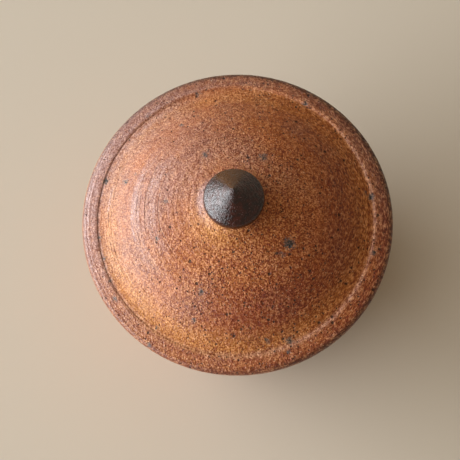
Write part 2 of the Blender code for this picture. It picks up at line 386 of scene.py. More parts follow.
def facing(azimuth, centre, width):
    """1 at an azimuth, falling off smoothly to the sides. Both are in degrees."""
    away = (np.degrees(azimuth) - centre + 180) % 360 - 180
    return np.exp(-((away / width) ** 2))


def sides(t, rows):
    """What rows of a strength, an azimuth and its width add up to at each point."""
    return sum(row[0] * facing(t.azimuth, *row[1:]) for row in rows)


def patches(t, rows):
    """The same for rows that also say at which radius, and over which width."""
    return sum(row[0] * bump_at(t.radius, *row[1:3]) * facing(t.azimuth, *row[3:]) for row in rows)


def edges(t, rows):
    """The same for rows that say at which radius they start, and from which on they are full."""
    return sum(row[0] * ramp(t.radius, *row[1:3]) * facing(t.azimuth, *row[3:]) for row in rows)


class Turning:
    """The points of a piece as it comes off the wheel, before its relief is added."""

    def __init__(self, outline, around):
        self.outline = outline
        self.around = around
        on_axis = outline[:, 0] < 1e-6
        self.rings = outline[~on_axis]
        ahead = np.roll(outline, -1, 0)
        behind = np.roll(outline, 1, 0)
        ahead[-1] = outline[-1]
        behind[0] = outline[0]
        along = (ahead - behind)[~on_axis]
        along /= np.linalg.norm(along, axis=1)[:, None]
        azimuth = np.linspace(0, 2 * math.pi, around, endpoint=False)
        self.radius = np.repeat(self.rings[:, 0], around)
        self.height = np.repeat(self.rings[:, 1], around)
        self.ring = np.repeat(np.arange(len(self.rings)), around)
        self.azimuth = np.tile(azimuth, len(self.rings))
        self.cos = np.cos(self.azimuth)
        self.sin = np.sin(self.azimuth)
        out = np.repeat(-along[:, 1], around)
        up = np.repeat(along[:, 0], around)
        self.normal = np.stack([out * self.cos, out * self.sin, up], 1)
        self.points = np.stack([self.radius * self.cos, self.radius * self.sin, self.height], 1)

    def span(self, start, end):
        """Which points lie on rings start to end of the outline."""
        return (self.ring >= start) & (self.ring < end)

    def mesh(self, name, material, masks):
        """A closed mesh in metres, with each mask as an attribute of its points."""
        rings = len(self.rings)
        points = list(self.points * MM)
        faces = []
        for ring in range(rings - 1):
            low = ring * self.around
            high = low + self.around
            for j in range(self.around):
                k = (j + 1) % self.around
                faces.append((low + j, high + j, high + k, low + k))
        for pole, ring in ((0, 0), (-1, rings - 1)):
            points.append((0.0, 0.0, self.outline[pole, 1] * MM))
            centre = len(points) - 1
            low = ring * self.around
            for j in range(self.around):
                k = (j + 1) % self.around
                faces.append((centre, low + j, low + k) if pole == 0 else (centre, low + k, low + j))
        data = bpy.data.meshes.new(name)
        data.from_pydata(points, [], faces)
        data.shade_smooth()
        data.materials.append(material)
        for mask, values in masks.items():
            layer = data.attributes.new(mask, "FLOAT", "POINT")
            layer.data.foreach_set("value", np.append(values, (0.0, 0.0)).astype(np.float32))
        piece = bpy.data.objects.new(name, data)
        bpy.context.scene.collection.objects.link(piece)
        return piece


# How deep a pit is for its size, and how much rarer large pits are
PIT_DEPTH = 0.3
PIT_RARITY = 2.5


def add_pits(points, normal, where, count, sizes, seed):
    """Small pits sunk into the surface at random. Returns the new points and a mask of the pits."""
    chance = np.random.default_rng(seed)
    tree = kdtree.KDTree(len(points))
    for i, point in enumerate(points):
        tree.insert(point, i)
    tree.balance()
    depth = np.zeros(len(points))
    mask = np.zeros(len(points))
    for centre in chance.choice(np.flatnonzero(where), count, replace=False):
        size = sizes[0] + (sizes[1] - sizes[0]) * chance.random() ** PIT_RARITY
        for _, i, away in tree.find_range(points[centre], size):
            share = (1 - (away / size) ** 2) ** 2
            depth[i] = max(depth[i], PIT_DEPTH * size * share)
            mask[i] = max(mask[i], share)
    return points - normal * depth[:, None], mask


# How far the outlines of specks are pushed about, and over which distance, in millimetres
SPECK_PUSH = 0.7
# The smallest speck as a share of the largest, and where in a speck its edge starts to fade
SPECK_SMALLEST = 0.45
SPECK_FADE = 0.55
# How far a thin line strays, over which distance, and its half width where full and where gone
LINE_DRIFT = 0.8
LINE_DRIFT_SIZE = 11.0
LINE_FULL = 0.08
LINE_GONE = 0.24
LINE_PATCH_SIZE = 5.0
# The radius at which streaks are as long as they say
STREAK_RADIUS = 40


class Graph:
    """A material's nodes, added and joined by short calls. Sizes are in millimetres."""

    def __init__(self, name, rise=1.0):
        self.rise = rise
        self.material = bpy.data.materials.new(name)
        self.material.use_nodes = True
        self.tree = self.material.node_tree
        self.shader = self.tree.nodes["Principled BSDF"]
        self.place = self.add("ShaderNodeTexCoord").outputs["Object"]
        inputs = {"Vector": self.place, "Scale": 1 / (SPECK_PUSH * MM)}
        swirl = self.add("ShaderNodeTexNoise", inputs).outputs["Color"]
        inputs = {0: swirl, 1: (0.5, 0.5, 0.5)}
        centred = self.add("ShaderNodeVectorMath", inputs, operation="SUBTRACT").outputs[0]
        inputs = {0: centred, 1: (SPECK_PUSH * MM,) * 3, 2: self.place}
        self.ragged = self.add("ShaderNodeVectorMath", inputs, operation="MULTIPLY_ADD").outputs[0]

    def add(self, kind, inputs=(), **settings):
        """A node with its settings, and its inputs given as values or as sockets to join."""
        node = self.tree.nodes.new(kind)
        for key, value in settings.items():
            setattr(node, key, value)
        self.feed(node, inputs)
        return node

    def feed(self, node, inputs):
        for key, value in dict(inputs).items():
            if isinstance(value, bpy.types.NodeSocket):
                self.tree.links.new(value, node.inputs[key])
            else:
                node.inputs[key].default_value = value

    def math(self, operation, first, second=0.0):
        return self.add("ShaderNodeMath", {0: first, 1: second}, operation=operation).outputs[0]

    def mask(self, name):
        return self.add("ShaderNodeAttribute", attribute_name=name).outputs["Fac"]

    def noise(self, size, detail=2.0, rough=0.5, place=None):
        """Noise from 0 to 1, with features of this size."""
        inputs = {"Vector": place or self.place, "Scale": 1 / (size * MM)}
        inputs.update({"Detail": detail, "Roughness": rough})
        return self.add("ShaderNodeTexNoise", inputs).outputs["Fac"]

    def specks(self, spacing, size, share):
        """Round specks of up to this radius, this far apart, of which only a share is there."""
        inputs = {"Vector": self.ragged, "Scale": 1 / (spacing * MM)}
        cell = self.add("ShaderNodeTexVoronoi", inputs)
        chance = self.add("ShaderNodeSeparateColor", {0: cell.outputs["Color"]}).outputs
        largest = size / spacing
        radius = self.ramp(chance[0], 0.0, 1.0, SPECK_SMALLEST * largest, largest)
        place = self.math("DIVIDE", cell.outputs["Distance"], radius)
        inside = self.ramp(place, SPECK_FADE, 1.0, 1.0, 0.0)
        return self.math("MULTIPLY", inside, self.math("LESS_THAN", chance[1], share))

    def ramp(self, value, low, high, bottom=0.0, top=1.0):
        """A value brought smoothly from low..high to bottom..top."""
        inputs = {0: value, 1: low, 2: high, 3: bottom, 4: top}
        return self.add("ShaderNodeMapRange", inputs, interpolation_type="SMOOTHSTEP").outputs[0]

    def blend(self, share, first, second, how="MIX"):
        """Two colours mixed by a share."""
        node = self.add("ShaderNodeMix", data_type="RGBA", blend_type=how)
        self.feed(node, {0: share, 6: first, 7: second})
        return node.outputs[2]

    def radius(self):
        """The distance from the wheel's axis, and the place's three parts."""
        x, y, z = self.add("ShaderNodeSeparateXYZ", {0: self.place}).outputs
        square = self.math("ADD", self.math("MULTIPLY", x, x), self.math("MULTIPLY", y, y))
        return self.math("POWER", square, 0.5), x, y, z

    def thin_lines(self, radii):
        """Thin rings at these radii, which stray a little and fade in and out."""
        stray = self.math("SUBTRACT", self.noise(LINE_DRIFT_SIZE, detail=1.0), 0.5)
        drift = self.math("MULTIPLY", stray, LINE_DRIFT * MM)
        place = self.math("ADD", self.radius()[0], drift)
        total = 0.0
        for radius in radii:
            away = self.math("ABSOLUTE", self.math("SUBTRACT", place, radius * MM))
            ring = self.ramp(away, LINE_FULL * MM, LINE_GONE * MM, 1.0, 0.0)
            total = self.math("ADD", total, ring)
        return self.math("MULTIPLY", total, self.ramp(self.noise(LINE_PATCH_SIZE), 0.35, 0.55))

    def streaks(self, width, length):
        """Noise drawn out around the wheel's axis, in rings this wide and about this long."""
        radius, x, y, z = self.radius()
        across = self.math("ADD", radius, self.math("MULTIPLY", z, self.rise))
        reach = STREAK_RADIUS * MM * width / length
        around = [self.math("MULTIPLY", self.math("DIVIDE", part, radius), reach) for part in (x, y)]
        place = self.add("ShaderNodeCombineXYZ", {0: across, 1: around[0], 2: around[1]}).outputs[0]
        return self.noise(width, detail=2.0, rough=0.55, place=place)


# Colours of the fired clay, and of the shade and sheen painted on it, as linear red, green and blue
RUSSET = (0.34, 0.082, 0.011, 1.0)
TERRACOTTA = (0.47, 0.132, 0.024, 1.0)
OCHRE = (0.62, 0.25, 0.040, 1.0)
# dark brown, laid on as painted shade, and on the pot also as a random darker tone
PAINTED_SHADE_UMBER = (0.25, 0.036, 0.001, 1.0)
# pale lilac, laid on as painted sheen, and as a random paler tone
BLOOM_AND_SHEEN = (0.40, 0.225, 0.205, 1.0)
MAUVE = (0.23, 0.105, 0.085, 1.0)
IRON = (0.135, 0.12, 0.115, 1.0)
IRON_DARK = (0.018, 0.018, 0.017, 1.0)
PIT = (0.028, 0.010, 0.004, 1.0)
GRIT = (0.74, 0.42, 0.24, 1.0)
# near black brown, laid on as painted shade along the rim's outer edge
RIM_SHADE_COLOUR = (0.075, 0.024, 0.010, 1.0)

# The masks of the flame's colours and of the painted shade and sheen, in the order in which they lie
# on the clay
TINTS_AND_PAINTED_LIGHT = (
    ("ochre", OCHRE),
    ("umber_and_painted_shade", PAINTED_SHADE_UMBER),
    ("mauve_and_sheen", MAUVE),
    ("bloom_and_sheen", BLOOM_AND_SHEEN),
    ("painted_rim_shade", RIM_SHADE_COLOUR),
)

# What a pale grain adds to the colour around it, and what a dark one leaves of it
PALE_GRAIN = (0.27, 0.16, 0.085, 1.0)
DARK_GRAIN = (0.50, 0.27, 0.10, 1.0)
COARSE_GRAIN = 0.4  # how much coarse grain counts beside fine
PLAIN_GRAIN = 0.7  # where the grain is neither pale nor dark
CLAY_GLOSS = 0.65
CLAY_RELIEF = 0.16
LID_ROUGHNESS = 0.47
POT_ROUGHNESS = 0.5
PIT_ROUGHNESS = 0.4  # what a pit adds to the roughness
POLISH = 0.22  # what polishing takes off it

# How much of its colour each thing lays over the clay
DRAWN_SHARE = 0.2
GRIT_SHARE = 0.5
PIT_SHARE = 0.88
IRON_SHARE = 0.6
IRON_DARK_SHARE = 0.9
LINE_SHARE = 0.4
# how far smoothed places are tinted lilac, as painted sheen
SHEEN_TINT_SHARE = 0.3

# How deep or high each is, as a share of the clay's relief
LINE_DEPTH = 0.6
SPECK_DEPTH = 0.9
GRIT_RISE = 0.4
STREAK_RISE = 0.45
COARSE_RISE = 1.1


def clay(name, roughness, rise=1.0, lines=()):
    """Unglazed stoneware: mottled by the flame, grainy, pitted and flecked with iron and grit, with
    shade and sheen painted on where its masks say.
    """
    g = Graph(name, rise)
    sand = g.mask("sandy")

    def sanded(smooth, sandy):
        """One value where the clay is smooth, and another where it is sandy."""
        return g.ramp(sand, 0.0, 1.0, smooth, sandy)

    mottled = g.ramp(g.noise(7.0, detail=4.0, rough=0.6), 0.3, 0.7)
    colour = g.blend(mottled, RUSSET, TERRACOTTA)
    drawn = g.ramp(g.streaks(width=1.6, length=30.0), 0.3, 0.75)
    colour = g.blend(g.math("MULTIPLY", drawn, DRAWN_SHARE), colour, OCHRE)
    # the flame's colours, and the painted shade and sheen
    for mask, tint in TINTS_AND_PAINTED_LIGHT:
        patchy = g.ramp(g.noise(2.0, detail=4.0, rough=0.65), 0.25, 0.7, 0.55, 1.0)
        colour = g.blend(g.math("MULTIPLY", g.mask(mask), patchy), colour, tint)
    fine = {0: g.mask("turned"), 2: g.noise(0.5, detail=1.0), 3: g.streaks(width=0.42, length=1.1)}
    fine = g.add("ShaderNodeMix", fine, data_type="FLOAT").outputs[0]
    tone = g.math("ADD", fine, g.math("MULTIPLY", g.noise(1.2, detail=1.0), COARSE_GRAIN))
    tone = g.math("MULTIPLY", g.math("SUBTRACT", tone, PLAIN_GRAIN), sanded(3.6, 6.6))
    colour = g.blend(tone, colour, PALE_GRAIN, "ADD")
    colour = g.blend(g.math("MULTIPLY", tone, -1.0), colour, DARK_GRAIN, "MULTIPLY")
    grit = g.specks(spacing=0.95, size=0.30, share=sanded(0.3, 0.5))
    colour = g.blend(g.math("MULTIPLY", grit, GRIT_SHARE), colour, GRIT)
    small = g.specks(spacing=1.1, size=0.37, share=sanded(0.06, 0.5))
    large = g.specks(spacing=2.2, size=0.62, share=sanded(0.02, 0.5))
    dark = g.math("MAXIMUM", small, large)
    pit = g.math("MAXIMUM", g.ramp(g.mask("pit"), 0.3, 0.9), dark)
    colour = g.blend(g.math("MULTIPLY", pit, PIT_SHARE), colour, PIT)
    fray = g.ramp(g.noise(0.7, detail=3.0, rough=0.75), 0.25, 0.75, -0.4, 0.4)
    ragged = g.math("ADD", g.mask("iron"), fray)
    colour = g.blend(g.ramp(ragged, 0.22, 0.6, 0.0, IRON_SHARE), colour, IRON)
    colour = g.blend(g.ramp(ragged, 0.62, 0.85, 0.0, IRON_DARK_SHARE), colour, IRON_DARK)
    if lines:
        # thin dark lines on the side facing the window; the one in the groove is painted shade
        lined = g.math("MULTIPLY", g.thin_lines(lines), g.mask("lined"))
        colour = g.blend(g.math("MULTIPLY", lined, LINE_SHARE), colour, PIT)
        dark = g.math("ADD", dark, g.math("MULTIPLY", lined, LINE_DEPTH))
    strokes = g.ramp(g.streaks(width=1.0, length=9.0), 0.4, 0.6, 0.4, 1.25)
    # Smoothed places are less rough, and tinted lilac as painted sheen
    polished_and_sheen = g.math("MULTIPLY", g.mask("polished_and_sheen"), strokes)
    colour = g.blend(g.math("MULTIPLY", polished_and_sheen, SHEEN_TINT_SHARE), colour, BLOOM_AND_SHEEN)
    base = g.ramp(polished_and_sheen, 0.0, 1.0, roughness, roughness - POLISH)
    rough = g.math("ADD", base, g.ramp(g.noise(0.8), 0.3, 0.7, -0.07, 0.08))
    rough = g.math("ADD", rough, g.math("MULTIPLY", pit, PIT_ROUGHNESS))
    coarse = g.math("MULTIPLY", g.noise(1.3, detail=1.0), COARSE_RISE)
    grain = g.math("ADD", g.noise(0.48, detail=1.5), coarse)
    grain = g.math("MULTIPLY", grain, sanded(0.9, 1.8))
    height = g.math("SUBTRACT", grain, g.math("MULTIPLY", dark, SPECK_DEPTH))
    turning = g.math("MULTIPLY", g.streaks(width=0.6, length=12.0), STREAK_RISE)
    height = g.math("ADD", height, turning)
    height = g.math("ADD", height, g.math("MULTIPLY", grit, GRIT_RISE))
    bump = {"Strength": 1.0, "Distance": CLAY_RELIEF * MM, "Height": height}
    relief = g.add("ShaderNodeBump", bump).outputs[0]
    g.feed(g.shader, {"Base Color": colour, "Roughness": rough, "Normal": relief})
    g.feed(g.shader, {"Specular IOR Level": CLAY_GLOSS})
    return g.material


# The knob's glaze: its colours, how strongly it shines and how rough it is
GLAZE_DARK = (0.014, 0.0015, 0.001, 1.0)
GLAZE_RUST = (0.050, 0.006, 0.002, 1.0)
GLAZE_OLIVE = (0.085, 0.028, 0.001, 1.0)
# pale specks laid on as painted glints
PAINTED_GLINT = (0.28, 0.16, 0.18, 1.0)
GLAZE_IOR = 1.65
GLAZE_SMOOTH = 0.07
GLAZE_ROUGH = 0.2
GLAZE_RELIEF = 0.22
OLIVE_SHARE = 0.4
PAINTED_GLINT_SHARE = 0.3
SUNK_SHARE = 0.5
GLAZE_STREAKS = 0.5


def glaze(name):
    """The knob's dark iron glaze, thin over grainy clay, with a painted reflection on its top and pale
    specks as painted glints.
    """
    g = Graph(name, DOME_RISE)
    colour = g.blend(g.ramp(g.noise(1.6, detail=3.0), 0.35, 0.7), GLAZE_DARK, GLAZE_RUST)
    # a greenish-brown wedge on the knob's top, painted as a reflection
    patchy = g.ramp(g.noise(1.0, detail=3.0, rough=0.65), 0.25, 0.65, 0.45, 1.0)
    colour = g.blend(g.math("MULTIPLY", g.mask("painted_reflection"), patchy), colour, GLAZE_OLIVE)
    flecks = g.specks(spacing=1.1, size=0.26, share=0.35)
    colour = g.blend(g.math("MULTIPLY", flecks, OLIVE_SHARE), colour, GLAZE_OLIVE)
    # pale specks as painted glints of the window
    painted_glints = g.specks(spacing=0.62, size=0.22, share=0.3)
    colour = g.blend(g.math("MULTIPLY", painted_glints, PAINTED_GLINT_SHARE), colour, PAINTED_GLINT)
    sunk = g.math("MULTIPLY", g.specks(spacing=0.9, size=0.3, share=0.45), SUNK_SHARE)
    grain = g.math("SUBTRACT", g.noise(0.7, detail=2.0, rough=0.65), sunk)
    turning = g.math("MULTIPLY", g.streaks(width=0.7, length=3.0), GLAZE_STREAKS)
    grain = g.math("ADD", grain, turning)
    rough = g.ramp(g.noise(0.6, detail=1.0), 0.3, 0.7, GLAZE_SMOOTH, GLAZE_ROUGH)
    bump = {"Strength": 1.0, "Distance": GLAZE_RELIEF * MM, "Height": grain}
    relief = g.add("ShaderNodeBump", bump).outputs[0]
    g.feed(g.shader, {"Base Color": colour, "Roughness": rough, "Normal": relief})
    g.feed(g.shader, {"IOR": GLAZE_IOR})
    return g.material


# The height over which the wobble changes as much as over the piece's radius
WOBBLE_HEIGHT = 60


def wobble(t, sideways, upward, seed):
    """Takes a turned piece a little out of round, as it comes off the wheel."""
    ring = np.stack([t.cos, t.sin, t.height / WOBBLE_HEIGHT], 1)
    out = rippled(ring, size=1.3, seed=seed) * sideways
    t.points[:, 0] += out * t.cos
    t.points[:, 1] += out * t.sin
    t.points[:, 2] += rippled(ring, size=1.1, seed=seed + 1) * upward


def warp_rim(t):
    """Draws the groove and the rim a little out of round, and lowers the rim where the groove ends."""
    groove = sides(t, GROOVE_SIDES)
    aside = RIM_ASIDE[0] * t.cos + RIM_ASIDE[1] * t.sin
    oval = RIM_OVAL[0] * np.cos(2 * t.azimuth) + RIM_OVAL[1] * np.sin(2 * t.azimuth)
    share = ramp(t.radius, *RIM_WARP_START)
    out = (groove + (RIM_OUT + aside + oval - groove) * share) * ramp(t.radius, *WARP_START)
    t.points[:, 0] += out * t.cos
    t.points[:, 1] += out * t.sin
    over_seat = np.clip((t.height - LID_SEAT_Z) / (RIM_TOP_Z - LID_SEAT_Z), 0, 1)
    t.points[:, 2] -= edges(t, RIM_LOWERED) * over_seat


def throwing_spiral(radius, azimuth):
    """How far along the spiral's pitch a place is: 0 and 1 on its lines."""
    turn = (azimuth - SPIRAL_AZIMUTH) / (2 * math.pi)
    return ((radius - SPIRAL_RADIUS) / SPIRAL_PITCH + turn) % 1.0


def lid_top_relief(t):
    """Throwing lines, fine turning rings and grit on the lid's top."""
    phase = throwing_spiral(t.radius, t.azimuth)
    drift = rippled(t.points, size=22.0, seed=3)
    broad = BROAD_LINE_HEIGHT * np.cos(2 * math.pi * phase) * (0.8 + 0.5 * drift)
    off_line = np.minimum(phase, 1 - phase) * SPIRAL_PITCH
    shown = np.clip(sides(t, CUT_LINE_SIDES) + 0.35 * rippled(t.points, size=14.0, seed=4), 0, 1)
    cut = -CUT_LINE_DEPTH * bump_at(off_line, 0.0, CUT_LINE_WIDTH) * shown
    rings = RING_HEIGHT * np.sin(2 * math.pi * (t.radius + 0.25 * drift) / RING_PITCH)
    rings *= ramp(t.radius, *RINGS_START) * (0.7 + 0.6 * rippled(t.points, size=9.0, seed=5))
    grit = SAND_HEIGHT * rippled(t.points, size=0.9, seed=6, octaves=2)
    grit += LUMP_HEIGHT * rippled(t.points, size=4.5, seed=7)
    away = 1 - bump_at(t.radius, CROWN_RADIUS, FILLET_WIDTH)
    drawn_up = -FILLET_HEIGHT * away * ramp(t.radius, *FILLET_END)
    dome = ramp(t.radius, *DOME_START)
    on_dome = dome * ramp(t.radius, *DOME_END)
    plain = (grit + drawn_up) * ramp(t.radius, CROWN_RADIUS, CROWN_RADIUS + 0.4)
    plain = plain + patches(t, DENTS) + edges(t, RIM_FALLS)
    return (broad + cut) * on_dome + rings * dome * ramp(t.radius, *RINGS_END) + plain


def iron_spots(t):
    """Where iron came through the lid's top."""
    iron = np.zeros(len(t.points))
    for radius, azimuth, size, strength in IRON_SPOTS:
        x = radius * math.cos(math.radians(azimuth))
        y = radius * math.sin(math.radians(azimuth))
        away = np.hypot(t.points[:, 0] - x, t.points[:, 1] - y)
        iron = np.maximum(iron, strength * np.exp(-((away / size) ** 2) * IRON_SHARPNESS))
    return iron


def lid_masks(t, top):
    """Where the flame left its colours on the lid, where shade and sheen are painted on it, where it
    is sandy, and where iron came through.
    """
    soft = rippled(t.points, size=12.0, seed=11, octaves=2)
    band_radius = OCHRE_BAND_RADIUS + OCHRE_BAND_DRIFT * soft
    band = bump_at(t.radius, band_radius, OCHRE_BAND_WIDTH) * sides(t, OCHRE_BAND_SIDES)
    # painted shade on the side of the dome turned from the window
    shade = patches(t, PAINTED_SHADE_SIDE) * (0.9 + 0.4 * soft)
    phase = throwing_spiral(t.radius, t.azimuth)
    strip = ramp(t.radius, *POLISHED_STRIP_START) * ramp(t.radius, *POLISHED_STRIP_END)
    strip *= sides(t, POLISHED_STRIP_SIDES)
    polished_and_sheen = ramp(phase, 0.0, 0.15) * ramp(phase, 0.9, 0.6) * strip
    for patch in POLISHED_PATCHES:
        polished_and_sheen = np.maximum(polished_and_sheen, patches(t, (patch,)))
    glossy = ramp(t.radius, *POLISHED_RIM_START) * (1 - 0.6 * ramp(t.radius, *POLISHED_RIM_END))
    masks = {
        "ochre": band + patches(t, OCHRE_PATCHES) + 0.15 * soft,
        "umber_and_painted_shade": shade + patches(t, PAINTED_SHADE_PATCHES) + edges(t, PAINTED_SHADE_EDGES),
        # the smoothed strips add to this tint as painted sheen
        "mauve_and_sheen": patches(t, MAUVE_PATCHES) + edges(t, MAUVE_EDGES) + 0.3 * polished_and_sheen + 0.1 * soft,
        "bloom_and_sheen": patches(t, PAINTED_SHEEN_PATCHES) + edges(t, PAINTED_SHEEN_EDGES) + 0.12 * soft,
        "painted_rim_shade": edges(t, PAINTED_RIM_SHADE_EDGES),
        "iron": iron_spots(t),
        "polished_and_sheen": np.maximum(polished_and_sheen, glossy * sides(t, POLISHED_RIM_SIDES)),
        "lined": sides(t, LINED_SIDES) + 0.2 * soft,
        "turned": sides(t, TURNED_SIDES) * ramp(t.radius, *TURNED_START),
    }
    masks = {name: np.clip(values, 0, 1) * top for name, values in masks.items()}
    sandy = sides(t, SANDY_SIDES) + patches(t, SANDY_PATCHES) + 0.25 * soft
    masks["sandy"] = np.clip(sandy, 0, 1)
    return masks


def lid_outline():
    """The lid from its socket over the dome and the rim, and back underneath to the middle."""
    crown = (CROWN_RADIUS, CROWN_Z)
    groove = (GROOVE_RADIUS, GROOVE_Z)
    socket_z = CROWN_Z - SOCKET_DEPTH
    socket = joined(
        line((0.0, socket_z), (SOCKET_RADIUS, socket_z), step=3.0),
        line((SOCKET_RADIUS, socket_z), (SOCKET_RADIUS, CROWN_Z), step=0.9),
        line((SOCKET_RADIUS, CROWN_Z), crown, step=0.4),
    )
    shoulder = (SHOULDER_RADIUS, SHOULDER_Z)
    dome = joined(
        bend(crown, -CROWN_SLOPE, shoulder, -SHOULDER_SLOPE, FINE),
        bend(shoulder, -SHOULDER_SLOPE, groove, -DOME_FOOT_SLOPE, FINE),
    )
    band_inner = (GROOVE_RADIUS + GROOVE_WIDTH, RIM_TOP_Z)
    band_outer = (LID_RADIUS - RIM_EDGE_WIDTH, RIM_TOP_Z - RIM_BAND_FALL)
    above = (RIM_EDGE_WIDTH, band_outer[1] - RIM_WIDEST_Z)
    below = (RIM_UNDERCUT, RIM_WIDEST_Z - LID_SEAT_Z)
    rim = joined(
        bend(groove, GROOVE_SIDE_SLOPE, band_inner, 0.0, FINE / 1.5),
        line(band_inner, band_outer, FINE),
        arc((band_outer[0], RIM_WIDEST_Z), above, 90, 0, FINE),
    )
    tip = COLLAR_WALL / 2
    inner_radius = COLLAR_RADIUS - COLLAR_WALL
    along = np.gradient(dome, axis=0)
    along /= np.linalg.norm(along, axis=1)[:, None]
    vault = dome + LID_WALL * np.stack([along[:, 1], -along[:, 0]], 1)
    vault = vault[vault[:, 0] < inner_radius][::-3]
    vault_top = (0.0, CROWN_Z - LID_WALL)
    under = joined(
        arc((LID_RADIUS - RIM_UNDERCUT, RIM_WIDEST_Z), below, 0, -90, FINE),
        line((LID_RADIUS - RIM_UNDERCUT, LID_SEAT_Z), (COLLAR_RADIUS, LID_SEAT_Z), COARSE),
        line((COLLAR_RADIUS, LID_SEAT_Z), (COLLAR_RADIUS, LID_SEAT_Z - COLLAR_DEPTH + tip), COARSE),
        arc((COLLAR_RADIUS - tip, LID_SEAT_Z - COLLAR_DEPTH + tip), (tip, tip), 0, -180, step=0.7),
        line((inner_radius, LID_SEAT_Z - COLLAR_DEPTH + tip), (inner_radius, vault[0, 1]), COARSE),
        vault,
        line(tuple(vault[-1]), vault_top, COARSE),
    )
    outline = joined(socket, dome, rim, under)
    return outline, len(joined(socket, dome, rim)) - 1


def make_lid():
    outline, top_end = lid_outline()
    t = Turning(outline, LID_AROUND)
    top = t.span(0, top_end).astype(float)
    inner_radius = COLLAR_RADIUS - COLLAR_WALL
    hollow = (1 - top) * ramp(t.radius, inner_radius - 0.5, inner_radius - 3.0)
    turns = t.radius / HOLLOW_LINE_PITCH + t.azimuth / (2 * math.pi)
    relief = lid_top_relief(t) * top
    relief += hollow * HOLLOW_LINE_HEIGHT * np.sin(2 * math.pi * turns)
    warp_rim(t)
    masks = lid_masks(t, top)
    t.points += t.normal * relief[:, None]
    open_top = (t.radius > CROWN_RADIUS + 2) & (top > 0)
    t.points, masks["pit"] = add_pits(t.points, t.normal, open_top, **LID_PITS)
    wobble(t, sideways=0.05, upward=0.12, seed=21)
    material = clay("lid_stoneware", LID_ROUGHNESS, DOME_RISE, THIN_LINES)
    return t.mesh("lid_clay_body", material, masks)


def make_knob():
    """The pointed knob, with its neck and the foot that stands in the lid's socket."""
    widest = (KNOB_RADIUS, KNOB_WIDEST_Z)
    shoulder = (KNOB_RADIUS - KNOB_EDGE_INSET, KNOB_WIDEST_Z + KNOB_EDGE)
    under = (KNOB_RADIUS - KNOB_EDGE_INSET, KNOB_WIDEST_Z - KNOB_EDGE)
    neck = (KNOB_NECK_RADIUS, KNOB_NECK_Z)
    fall = math.atan2(shoulder[1] - KNOB_POINT_Z, shoulder[0])
    down = -math.pi / 2
    back_in = KNOB_UNDER_SLOPE - math.pi
    radii = (KNOB_POINT_RADIUS, KNOB_POINT_RADIUS)
    centre = (0.0, KNOB_POINT_Z - KNOB_POINT_RADIUS)
    tip = arc(centre, radii, 90, 90 + math.degrees(fall), step=0.12)
    foot = (KNOB_FOOT_RADIUS, KNOB_FOOT_Z)
    outline = joined(
        tip,
        line(tuple(tip[-1]), shoulder, step=0.2),
        bend(shoulder, fall, widest, down, step=0.2),
        bend(widest, down, under, back_in, step=0.2),
        bend(under, back_in, neck, down, step=0.3),
        bend(neck, down, (KNOB_FOOT_RADIUS, CROWN_Z), -KNOB_FOOT_SLOPE, step=0.3),
        line((KNOB_FOOT_RADIUS, CROWN_Z), foot, step=0.3),
        line(foot, (0.0, KNOB_FOOT_Z), step=2.0),
    )
    t = Turning(outline, KNOB_AROUND)
    cone = ramp(t.height, KNOB_WIDEST_Z - 3.0, KNOB_WIDEST_Z) * ramp(t.radius, 0.1, 1.2)
    relief = KNOB_SAND_HEIGHT * rippled(t.points, size=0.7, seed=31, octaves=2)
    relief += KNOB_LUMP_HEIGHT * rippled(t.points, size=6.0, seed=32)
    t.points += t.normal * (relief * cone)[:, None]
    azimuth = np.degrees(t.azimuth)
    # the wedge of painted reflection on the knob's top, above its widest ring
    wedge = ramp(azimuth, *REFLECTION_START) * ramp(azimuth, *REFLECTION_END)
    painted_reflection = wedge * ramp(t.height, KNOB_WIDEST_Z - 0.5, KNOB_WIDEST_Z + 1.0)
    return t.mesh("pointed_knob", glaze("knob_iron_glaze"), {"painted_reflection": painted_reflection})


def pot_wall():
    """The pot's outer wall from the lip down to the foot ring."""
    down = -math.pi / 2
    belly = (BELLY_RADIUS, BELLY_Z)
    return joined(
        bend((LIP_RADIUS, POT_HEIGHT - LIP_ROUND), down, belly, down, POT_STEP),
        bend(belly, down, (WALL_FOOT_RADIUS, FOOT_HEIGHT), math.pi + WALL_RISE, POT_STEP),
    )


